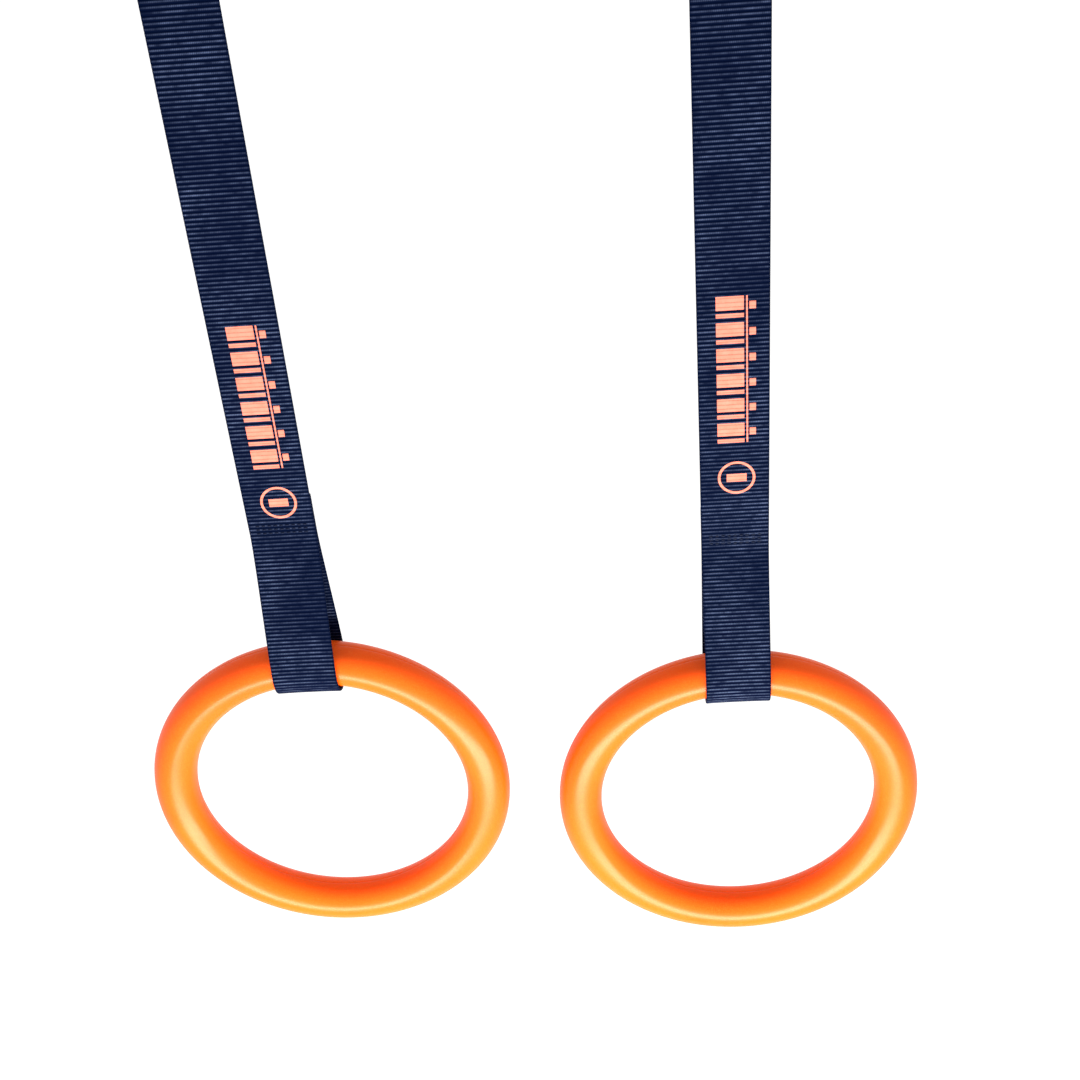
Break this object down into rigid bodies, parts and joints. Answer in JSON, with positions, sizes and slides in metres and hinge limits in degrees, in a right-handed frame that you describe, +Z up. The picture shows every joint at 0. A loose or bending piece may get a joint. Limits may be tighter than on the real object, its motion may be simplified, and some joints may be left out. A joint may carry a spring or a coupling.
{
  "type": "gymnastics rings",
  "caption": "Pair of moulded gymnastics rings, each hung in the sewn eye of a webbing strap that loops over a bar and closes with a cam buckle.",
  "frame": {"origin": "on the axis of the overhead bar, midway between the two straps", "axes": "+X along the bar to the right strap, +Y behind the straps, +Z up"},
  "size_m": [0.504, 0.1255, 1.028],
  "materials": {
    "webbing": "ribbed woven navy webbing, matte",
    "keeper_elastic": "black woven elastic, matte",
    "ring_plastic": "saturated orange moulded plastic, satin to glossy",
    "buckle_steel": "zinc plated steel, satin",
    "spring_steel": "drawn spring wire"
  },
  "bodies": {
    "bar_turns": {"strap_top_turn_left": "webbing", "strap_top_turn_right": "webbing"},
    "loop_left": {"strap_front_leg_left": "webbing", "strap_rear_leg_left": "webbing"},
    "hanger_left": {"strap_head_left": "webbing", "buckle_frame_left": "buckle_steel", "cam_pin_left": "buckle_steel", "cam_spring_left": "spring_steel", "tab_bar_left": "buckle_steel", "buckle_tab_left": "webbing", "tail_lead_left": "webbing", "tail_roll_left": "webbing", "tail_keeper_left": "keeper_elastic"},
    "cam_left": {"cam_lever_left": "buckle_steel"},
    "drop_left": {"strap_drop_left": "webbing"},
    "eye_left": {"eye_join_left": "webbing", "eye_front_leg_left": "webbing", "eye_rear_leg_left": "webbing"},
    "saddle_left": {"strap_saddle_left": "webbing"},
    "ring_left": {"ring_front_shell_left": "ring_plastic", "ring_rear_shell_left": "ring_plastic"},
    "loop_right": {"strap_front_leg_right": "webbing", "strap_rear_leg_right": "webbing"},
    "hanger_right": {"strap_head_right": "webbing", "buckle_frame_right": "buckle_steel", "cam_pin_right": "buckle_steel", "cam_spring_right": "spring_steel", "tab_bar_right": "buckle_steel", "buckle_tab_right": "webbing", "tail_lead_right": "webbing", "tail_roll_right": "webbing", "tail_keeper_right": "keeper_elastic"},
    "cam_right": {"cam_lever_right": "buckle_steel"},
    "drop_right": {"strap_drop_right": "webbing"},
    "eye_right": {"eye_join_right": "webbing", "eye_front_leg_right": "webbing", "eye_rear_leg_right": "webbing"},
    "saddle_right": {"strap_saddle_right": "webbing"},
    "ring_right": {"ring_front_shell_right": "ring_plastic", "ring_rear_shell_right": "ring_plastic"}
  },
  "joints": [
    {"name": "swing_left", "type": "hinge", "parent": "bar_turns", "child": "loop_left", "pos_m": [-0.134, 0, 0], "axis": [1, 0, 0], "range_deg": [-60, 60], "deforming": ["strap_front_leg_left", "strap_rear_leg_left"]},
    {"name": "height_left", "type": "slide", "parent": "loop_left", "child": "hanger_left", "axis": [0, 0, 1], "range_m": [0, 0.1]},
    {"name": "cam_left", "type": "hinge", "parent": "hanger_left", "child": "cam_left", "pos_m": [-0.134, 0.0195, -0.162], "axis": [1, 0, 0], "range_deg": [0, 35], "stiffness_Nm_per_rad": 0.05, "springref_deg": -17.19},
    {"name": "sway_left", "type": "hinge", "parent": "hanger_left", "child": "drop_left", "pos_m": [-0.134, 0, -0.32], "axis": [0, 1, 0], "range_deg": [-1.5, 25]},
    {"name": "twist_left", "type": "hinge", "parent": "drop_left", "child": "eye_left", "pos_m": [-0.134, 0, -0.638], "axis": [0, 0, 1], "range_deg": [-90, 90], "stiffness_Nm_per_rad": 0.02},
    {"name": "tilt_left", "type": "hinge", "parent": "eye_left", "child": "saddle_left", "pos_m": [-0.134, 0, -0.76], "axis": [1, 0, 0], "range_deg": [-90, 90], "deforming": ["eye_front_leg_left", "eye_rear_leg_left"]},
    {"name": "spin_left", "type": "hinge", "parent": "saddle_left", "child": "ring_left", "pos_m": [-0.134, 0, -0.864], "axis": [0, 1, 0], "continuous": true},
    {"name": "swing_right", "type": "hinge", "parent": "bar_turns", "child": "loop_right", "pos_m": [0.134, 0, 0], "axis": [1, 0, 0], "range_deg": [-60, 60], "deforming": ["strap_front_leg_right", "strap_rear_leg_right"]},
    {"name": "height_right", "type": "slide", "parent": "loop_right", "child": "hanger_right", "axis": [0, 0, 1], "range_m": [0, 0.1]},
    {"name": "cam_right", "type": "hinge", "parent": "hanger_right", "child": "cam_right", "pos_m": [0.134, 0.0195, -0.162], "axis": [1, 0, 0], "range_deg": [0, 35], "stiffness_Nm_per_rad": 0.05, "springref_deg": -17.19},
    {"name": "sway_right", "type": "hinge", "parent": "hanger_right", "child": "drop_right", "pos_m": [0.134, 0, -0.32], "axis": [0, -1, 0], "range_deg": [-1.5, 25]},
    {"name": "twist_right", "type": "hinge", "parent": "drop_right", "child": "eye_right", "pos_m": [0.134, 0, -0.662], "axis": [0, 0, 1], "range_deg": [-90, 90], "stiffness_Nm_per_rad": 0.02},
    {"name": "tilt_right", "type": "hinge", "parent": "eye_right", "child": "saddle_right", "pos_m": [0.134, 0, -0.784], "axis": [1, 0, 0], "range_deg": [-90, 90], "deforming": ["eye_front_leg_right", "eye_rear_leg_right"]},
    {"name": "spin_right", "type": "hinge", "parent": "saddle_right", "child": "ring_right", "pos_m": [0.134, 0, -0.888], "axis": [0, 1, 0], "continuous": true}
  ]
}
